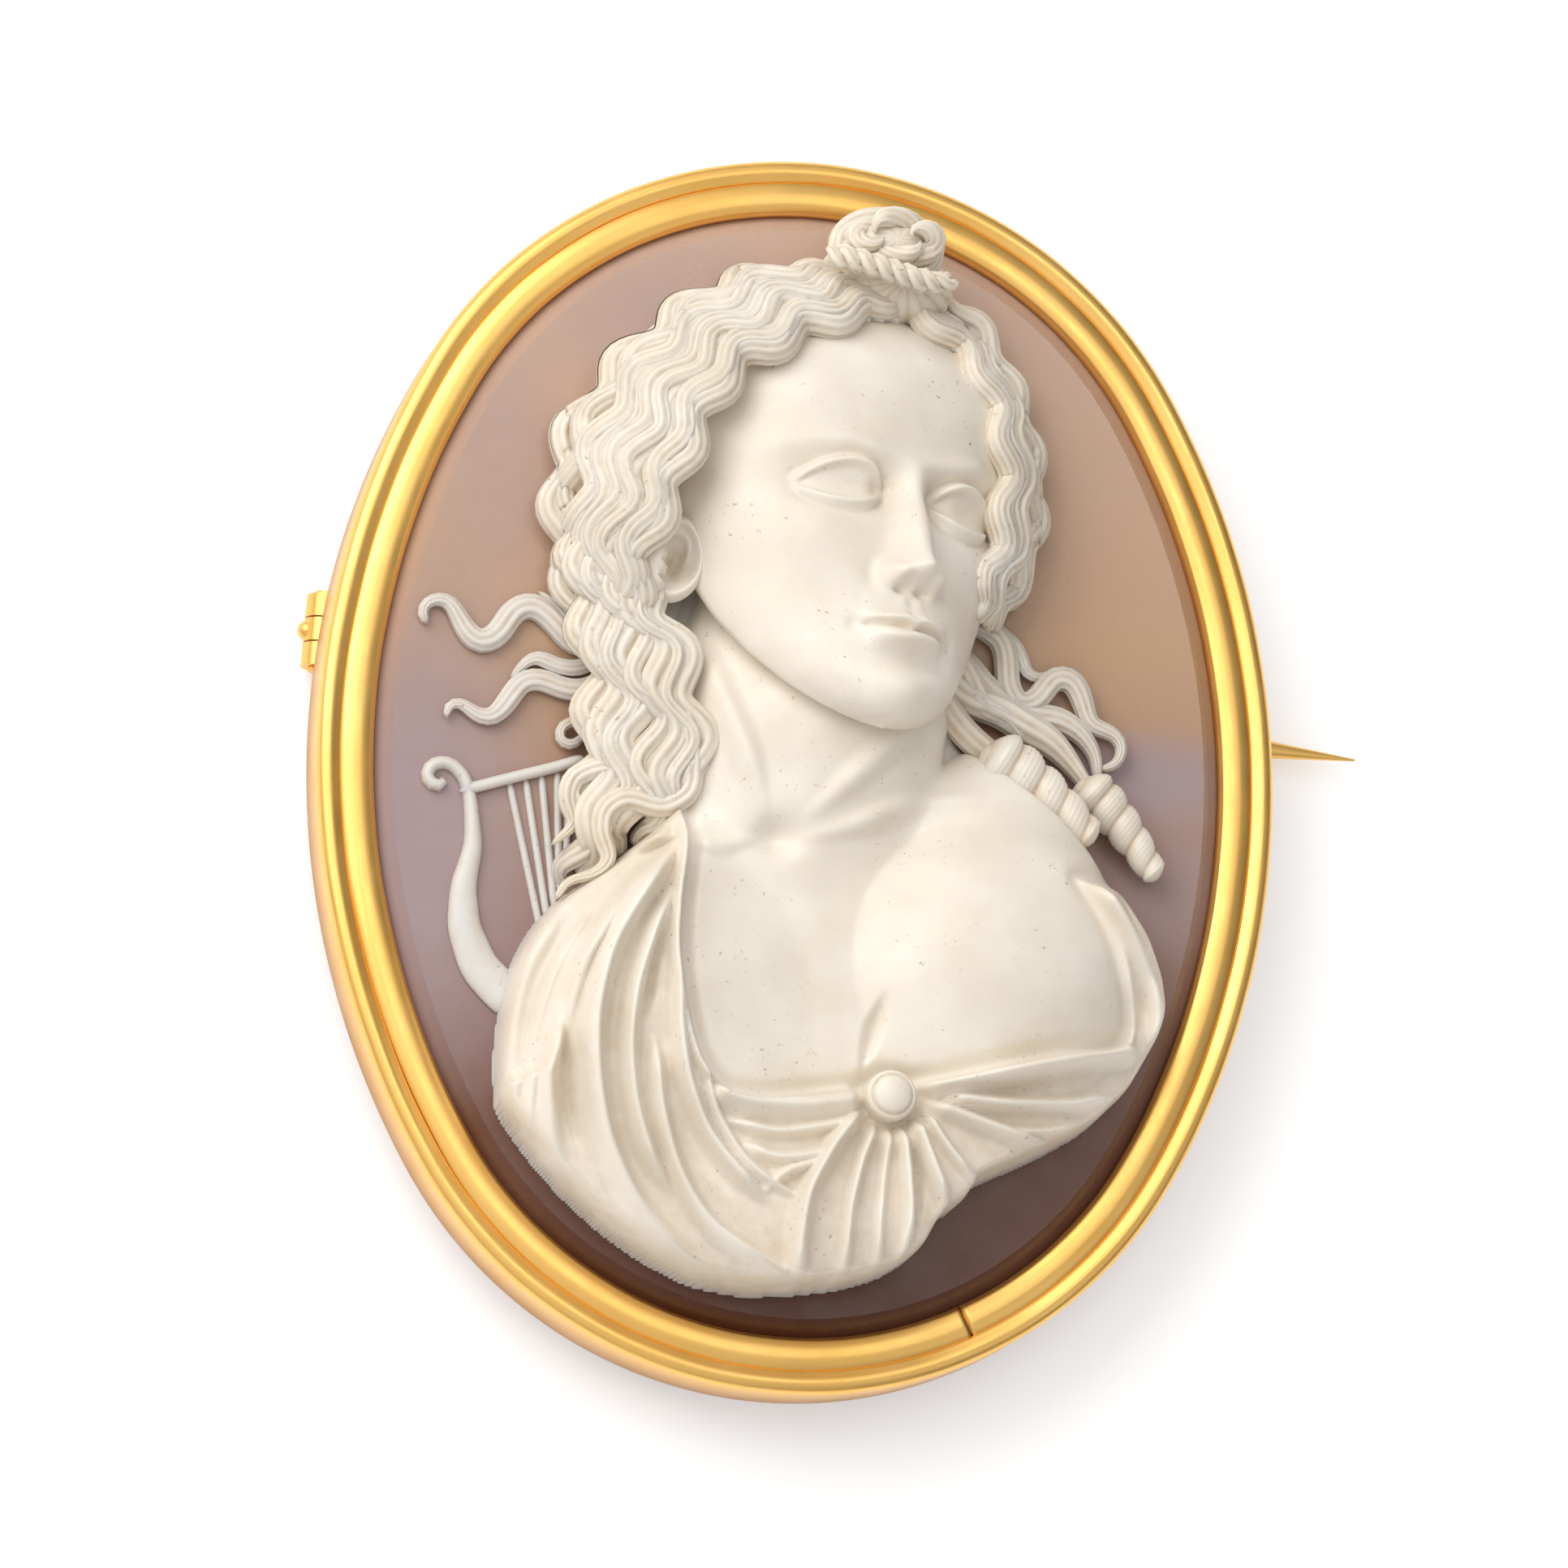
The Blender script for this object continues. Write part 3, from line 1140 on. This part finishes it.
def knot_coil(turns, start, wide, middle_x, middle_y, out_from, out_to, foot, top):
    """A lock that winds round a place on the knot, from its foot in to its top."""
    t = np.linspace(0, 1, 160)
    out = out_from + (out_to - out_from) * t
    middle = KNOT + (middle_x, middle_y)
    x, y = oval_ring(middle, out, 0.66 * out, 2 * math.pi * (turns * t + start))
    z = foot + (top - foot) * np.sin(t * math.pi / 2)
    return lock(np.column_stack([x, y, z]), wide, 0.55, strands=4, twist=0.3, groove=0.26)


def rope_strand(side):
    path = smooth_path(guide(ROPE, 6.0), 140)
    share, length = steps_along(path)
    turn_at = 2 * math.pi * share * length / ROPE_PITCH + side * math.pi
    plan = path + beside(path) * (ROPE_SWING * np.cos(turn_at))[:, None]
    height = 5.9 - (2 * share - 1) ** 2 + ROPE_SWING * np.sin(turn_at)
    return lock(lifted(plan, height), ROPE_R, ROPE_R, strands=2, around=20, ends=(0.6, 0.7))


knot_ball = ribbed_ball(KNOT, (2.35, 1.40), 1.5, 4.0, 5, 0.10, 2.2)
sculpt("hair_knot", [(120, 48, knot_ball)] + [knot_coil(*values) for values in KNOT_COILS])
sculpt("hair_rope", [rope_strand(0), rope_strand(1)])

# %% [markdown]
# Free locks lie on the brown ground on both sides of the neck. Two of them are wound into
# ringlets over the bare shoulder. A ringlet could be a lock that runs along a screw line, but
# such a spring shows gaps, so it is a cone with a deep spiral groove.

# %% Loose locks
# Each lock: photo pixels, half width, half height and height over the ground in mm
LOOSE = {
    "left_long": ([(760, 770), (738, 790), (708, 797), (684, 765), (657, 742), (632, 750), (614, 785),
                   (588, 795), (568, 768), (556, 738), (532, 735), (514, 752), (527, 770)],
                  0.66, 0.50, 0.35),
    "left_upper": ([(760, 745), (735, 760), (712, 782), (690, 748), (662, 728)], 0.40, 0.40, 0.30),
    "left_short": ([(755, 830), (722, 852), (692, 850), (668, 836), (642, 838), (625, 865),
                    (606, 888), (582, 880), (568, 862), (548, 868), (550, 886)], 0.56, 0.45, 0.35),
    "left_fork": ([(750, 800), (715, 826), (684, 822), (660, 806), (640, 822), (628, 838)], 0.40, 0.35, 0.3),
    "ring": ([(722, 890), (706, 888), (690, 895), (688, 912), (702, 920), (716, 912), (722, 898), (735, 890)],
             0.26, 0.35, 0.5),
    "right_long": ([(1180, 775), (1206, 768), (1236, 786), (1242, 815), (1240, 846), (1256, 874), (1282, 862),
                    (1296, 832), (1324, 836), (1336, 868), (1342, 898), (1366, 898), (1386, 916), (1378, 946),
                    (1354, 948)], 0.60, 0.55, 0.7),
    "right_upper": ([(1190, 760), (1222, 772), (1256, 800), (1262, 832), (1280, 840), (1306, 822)],
                    0.36, 0.4, 0.5),
    "right_middle": ([(1140, 800), (1165, 840), (1196, 866), (1232, 872), (1262, 896), (1296, 912),
                      (1322, 944), (1350, 985)], 0.85, 0.80, 1.1),
    "right_wave": ([(1180, 800), (1204, 838), (1236, 868), (1272, 886), (1300, 882), (1330, 900), (1352, 930),
                    (1352, 965)], 0.66, 0.60, 0.7),
    "right_inner": ([(1172, 800), (1196, 836), (1208, 872), (1240, 880), (1262, 915)], 0.60, 0.6, 1.3),
    "right_low": ([(1140, 830), (1172, 885), (1206, 922), (1246, 948), (1300, 958)], 0.72, 0.7, 1.5)
}


def loose_lock(pixels, half_wide, half_high, height):
    path = smooth_path(guide(pixels, height), 120, 0.45)
    return lock(lifted(path, height), half_wide, half_high, strands=4, groove=0.26, tip=0.45,
                ends=(0.6, 0.38))


sculpt("loose_locks", [loose_lock(*values) for values in LOOSE.values()])

# %% Locks that curl on the shoulder
SHOULDER_LOCKS = [
    ([(838, 860), (852, 925), (852, 975), (818, 995), (773, 978), (745, 995), (743, 1026), (759, 1054),
      (740, 1074), (702, 1079), (690, 1104)], 0.62, 3.5),
    ([(790, 950), (740, 943), (707, 955), (700, 982), (715, 1011), (684, 1036)], 0.52, 2.6)
]


def shoulder_lock(pixels, half_wide, height):
    plan = smooth_path(guide(pixels, height), 120)
    fall = 1.2 * np.linspace(0, 1, len(plan))
    return lock(lifted(plan, height - fall), half_wide, 0.8, strands=4, tip=0.5, ends=(0.6, 0.3), groove=0.26)


sculpt("shoulder_curls", [shoulder_lock(*values) for values in SHOULDER_LOCKS])

# %% Ringlets
# Ringlets: first and last photo pixel, radius at both ends, turns, height at both ends
RINGLETS = [
    ((1212, 922), (1348, 1038), 1.55, 0.78, 4.7, 2.5, 2.9),
    ((1330, 962), (1426, 1084), 1.32, 0.60, 4.9, 1.4, 1.3)
]


def ringlet(start, end, wide, narrow, turns, height_a, height_b):
    """A lock wound like a screw: a cone with a deep spiral groove that narrows to its tip."""
    start, end = over_stone(*start, height_a), over_stone(*end, height_b)
    axis = (end - start) / np.linalg.norm(end - start)
    aside = np.array([-axis[1], axis[0]])

    def shape(u, v):
        angle = 2 * math.pi * u
        close = np.sqrt(np.clip((1 - v) / 0.06, 0, 1)) * np.sin(np.clip(v / 0.16, 0, 1) * math.pi / 2) ** 0.6
        coil = np.abs(np.sin(math.pi * turns * v ** 0.9 - angle / 2))
        fine = 0.012 * np.sin(12 * math.pi * turns * v ** 0.9 - 6 * angle)
        radius = (wide + (narrow - wide) * v ** 0.8) * (0.78 + 0.24 * coil ** 0.55 + fine) * close
        plan = start + np.outer(v, end - start) + aside * (radius * np.cos(angle))[:, None]
        plan = plan + 0.25 * aside * np.sin(v * math.pi)[:, None]
        z = height_a + (height_b - height_a) * v + radius * np.sin(angle)
        return np.column_stack([plan, z]), np.clip(1 - coil, 0, 1) ** 2 * 0.9

    return 40, 150, shape


sculpt("ringlets", [ringlet(*values) for values in RINGLETS])

# %% [markdown]
# The ear is a shallow dish with a rolled rim and a soft lobe, half covered by the hair. A disc
# whose rings are raised and sunk is enough for it at this size.

# %% Ear
EAR = (-6.5, 8.5, 2.5)
EAR_HALF = (1.25, 2.0)


def ear_shape(u, v):
    angle = 2 * math.pi * u
    out = np.clip(v / 0.8, 0, 1)
    under = np.clip((v - 0.8) / 0.2, 0, 1)
    round_off = 1 - 0.14 * np.sin(angle) + 0.05 * np.cos(2 * angle)
    x = EAR_HALF[0] * out * round_off * np.cos(angle) * (1 - 0.25 * under)
    y = EAR_HALF[1] * out * np.sin(angle) * (1 - 0.2 * under)
    lobe = ease((-np.sin(angle) - 0.35) / 0.5)
    rim = 0.62 * bump(out, 0.84, 0.15) * (1 - 0.3 * lobe) + 0.45 * lobe * bump(out, 0.62, 0.3)
    bowl = -0.55 * np.exp(-(((x - 0.15) / 0.5) ** 2) - ((y + 0.15) / 0.8) ** 2)
    inner_rib = 0.28 * bump(np.hypot(x + 0.05, (y - 0.3) * 0.7), 0.62, 0.12) * ease((y + 0.4) / 0.6)
    z = 0.55 + rim + bowl + inner_rib - 1.9 * under
    hollow = np.clip(-bowl * 2.2, 0, 1)
    slant = math.radians(-10)
    px = x * math.cos(slant) - y * math.sin(slant)
    py = x * math.sin(slant) + y * math.cos(slant)
    return np.column_stack([EAR[0] + px, EAR[1] + py, EAR[2] + z + 0.25 * px]), hollow


sculpt("ear", [(72, 60, ear_shape)])

# %% [markdown]
# The button is a low dome with a rolled edge, and the lyre a few thin rods and one curled arm.
# The rods are locks without ribs, so that they need no tool of their own.

# %% Button
def button_shape(u, v):
    over = np.clip(v / 0.75, 0, 1) * math.pi / 2
    out = np.sin(over)
    groove = bump(out, 0.80, 0.06)
    x, y = oval_ring(BUTTON, BUTTON_R * out, BUTTON_R * out, 2 * math.pi * u)
    z = 5.35 + 0.75 * np.cos(over) - 1.6 * np.clip((v - 0.75) / 0.25, 0, 1) - 0.16 * groove
    return np.column_stack([x, y, z]), 0.6 * groove


sculpt("button", [(60, 44, button_shape)])

# %% Lyre
# Points are shares of the flat face's half width and half height
LYRE_ARM = [
    (-.878, -.046), (-.869, -.058), (-.892, -.071), (-.924, -.050), (-.909, -.024), (-.864, -.018),
    (-.824, -.046), (-.809, -.090), (-.801, -.171), (-.825, -.245), (-.822, -.319), (-.783, -.391),
    (-.717, -.440), (-.688, -.454)
]
LYRE_BAR = [(-.840, -.074), (-.696, -.041), (-.598, -.020), (-.529, -.001)]
STRINGS_TOP = [(-.718, -.045), (-.678, -.038), (-.639, -.030), (-.600, -.021), (-.564, -.013)]
STRINGS_FOOT = [(-.633, -.325), (-.618, -.303), (-.602, -.280), (-.591, -.250), (-.578, -.220)]


def rod(points, radius, height):
    """A thin round rod with blunt ends."""
    line = lifted(smooth_path(np.array(points) * [FLAT_W, FLAT_H], 80), height)
    return lock(line, radius, radius, strands=1, groove=0.0, around=16, root=0.02, tip=0.02, ends=(0.9, 0.9))


def lyre_arm(points):
    """A flat arm that broadens from its scroll down to the foot."""
    line = lifted(smooth_path(np.array(points) * [FLAT_W, FLAT_H], 120), 0.12)
    share, length = steps_along(line)
    around, along, even_arm = lock(line, 1.0, 0.42, strands=1, groove=0.0, around=24, root=0.01, tip=0.02,
                                   ends=(0.9, 0.9))

    def shape(u, v):
        points, hollow = even_arm(u, v)
        middle = read_path(line, share, v)
        width = 0.30 + 0.62 * ease((v - 0.25) / 0.70)
        return middle + (points - middle) * np.stack([width, width, np.ones_like(v)], 1), hollow

    return around, along, shape


strings = [rod(ends, 0.17, 0.05) for ends in zip(STRINGS_TOP, STRINGS_FOOT)]
sculpt("lyre", [lyre_arm(LYRE_ARM), rod(LYRE_BAR, 0.26, 0.30)] + strings)

# %% [markdown]
# The white stone is a close-grained agate: creamy, a little see-through, polished on the crests
# and darker where dust and polish stay in the grooves. Near the ground the layer is thin and the
# brown shows through. A painted picture would stretch over the steep sides, so the colour comes
# from noise in the stone's own space, which goes right through it as in a real stone.

# %% White stone
def white_stone():
    made, tree, shader = new_material("white_agate")
    place = add_node(tree, "TexCoord", {})["Object"]
    height = add_node(tree, "SeparateXYZ", {0: place})["Z"]
    mark = add_node(tree, "Attribute", {}, attribute_name="hollow")["Fac"]
    body = add_ramp(tree, add_noise(tree, place, 260, 4), [
        (0.30, (0.78, 0.70, 0.585)), (0.70, (0.89, 0.83, 0.735))
    ])
    near_ground = add_range(tree, height, MIDDLE[2], MIDDLE[2] + 1.8 * MM, 0.9, 0.0)
    thin = add_mix(tree, near_ground, body, (0.66, 0.67, 0.68))
    worn = add_range(tree, add_noise(tree, place, 1500, 3), 0.35, 0.75, 0.35, 1.0)
    tinted = add_mix(tree, add_product(tree, mark, worn), thin, (0.60, 0.46, 0.30))
    dots = add_range(tree, add_noise(tree, place, 3800, 2), 0.66, 0.76, 0.0, 1.0)
    where = add_range(tree, add_noise(tree, place, 300, 2), 0.48, 0.62, 0.0, 0.65)
    set_inputs(tree, shader, {
        "Base Color": add_mix(tree, add_product(tree, dots, where), tinted, (0.25, 0.15, 0.07)),
        "Roughness": add_range(tree, add_noise(tree, place, 900, 3), 0.3, 0.7, 0.32, 0.50),
        "Subsurface Weight": 0.22,
        "Subsurface Radius": (1.0, 0.75, 0.5),
        "Subsurface Scale": 0.0007,
        "Normal": add_bump(tree, add_noise(tree, place, 5200, 3), 0.12, 0.00003)
    })
    return made


# %% [markdown]
# The brown layer is darkest at the bottom and pale at the top, with soft lilac bands. It is
# polished smooth. The gold is worn, so its gloss changes from place to place, and it is redder
# where dirt stays between the bead and the band.

# %% Brown stone
# Lilac bands in the brown layer: middle and half sizes in mm, and strength
LILAC_BANDS = [
    (-17.0, -3.5, 6.0, 14.0, 0.9), (15.5, 0.2, 7.0, 2.6, 1.0), (17.0, -4.5, 5.0, 4.0, 0.5),
    (-6.0, 19.5, 7.0, 5.0, 0.5), (-14.0, 13.0, 4.0, 9.0, 0.4)
]


def add_glow(tree, place, x, y, half_x, half_y, strength):
    """A soft oval patch: strength in its middle and nothing past its half sizes."""
    shift = add_node(tree, "Mapping", {
        "Vector": place,
        "Location": (-(MIDDLE[0] / MM + x) / half_x, -(MIDDLE[1] / MM + y) / half_y, 0),
        "Scale": (1 / (half_x * MM), 1 / (half_y * MM), 0)
    })["Vector"]
    patch = add_node(tree, "TexGradient", {"Vector": shift}, gradient_type="SPHERICAL")["Fac"]
    return add_range(tree, patch, 0.0, 0.7, 0.0, strength)


def brown_stone():
    made, tree, shader = new_material("brown_agate")
    place = add_node(tree, "TexCoord", {})["Object"]
    level = add_node(tree, "SeparateXYZ", {0: place})["Y"]
    upward = add_range(tree, level, MIDDLE[1] - FLAT_H * MM, MIDDLE[1] + FLAT_H * MM, 0.0, 1.0)
    layers = add_ramp(tree, upward, [
        (0.02, (0.092, 0.028, 0.010)), (0.16, (0.14, 0.058, 0.034)), (0.36, (0.29, 0.175, 0.14)),
        (0.62, (0.51, 0.32, 0.195)), (0.97, (0.57, 0.395, 0.30))
    ])
    cloud = add_range(tree, add_noise(tree, place, 60, 2), 0.35, 0.65, 0.0, 0.10)
    color = add_mix(tree, cloud, layers, (0.40, 0.27, 0.25))
    for band in LILAC_BANDS:
        color = add_mix(tree, add_glow(tree, place, *band), color, (0.375, 0.275, 0.285))
    set_inputs(tree, shader, {
        "Base Color": color,
        "Roughness": add_range(tree, add_noise(tree, place, 700, 3), 0.3, 0.7, 0.22, 0.36),
        "Specular IOR Level": 0.35,
        "Subsurface Weight": 0.10,
        "Subsurface Radius": (1.0, 0.5, 0.35),
        "Subsurface Scale": 0.0006,
        "Normal": add_bump(tree, add_noise(tree, place, 2600, 4), 0.05, 0.00002)
    })
    return made


# %% Gold
def worn_gold():
    made, tree, shader = new_material("worn_gold")
    place = add_node(tree, "TexCoord", {})["Object"]
    mark = add_node(tree, "Attribute", {}, attribute_name="hollow")["Fac"]
    clean = add_ramp(tree, add_noise(tree, place, 160, 4), [
        (0.25, (0.95, 0.55, 0.14)), (0.75, (1.0, 0.63, 0.20))
    ])
    set_inputs(tree, shader, {
        "Base Color": add_mix(tree, mark, clean, (0.36, 0.14, 0.02)),
        "Metallic": 1.0,
        "Roughness": add_range(tree, add_noise(tree, place, 500, 4), 0.3, 0.7, 0.33, 0.42),
        "Normal": add_bump(tree, add_noise(tree, place, 420, 3), 0.03, 0.00004)
    })
    return made


# %% Put the finishes on
GOLD = worn_gold()
FINISHES = {"stone_white": white_stone(), "gold_rim": GOLD, "gold_bezel": GOLD}
for piece in bpy.data.objects:
    if piece.get("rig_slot") in FINISHES:
        piece.data.materials.append(FINISHES[piece["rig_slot"]])
for name, finish in (("pin_stem", GOLD), ("hinge_rivet", GOLD), ("cameo_ground", brown_stone())):
    for hole in nodes[name].material_slots:
        hole.material = finish
print("materials:", [m.name for m in bpy.data.materials])
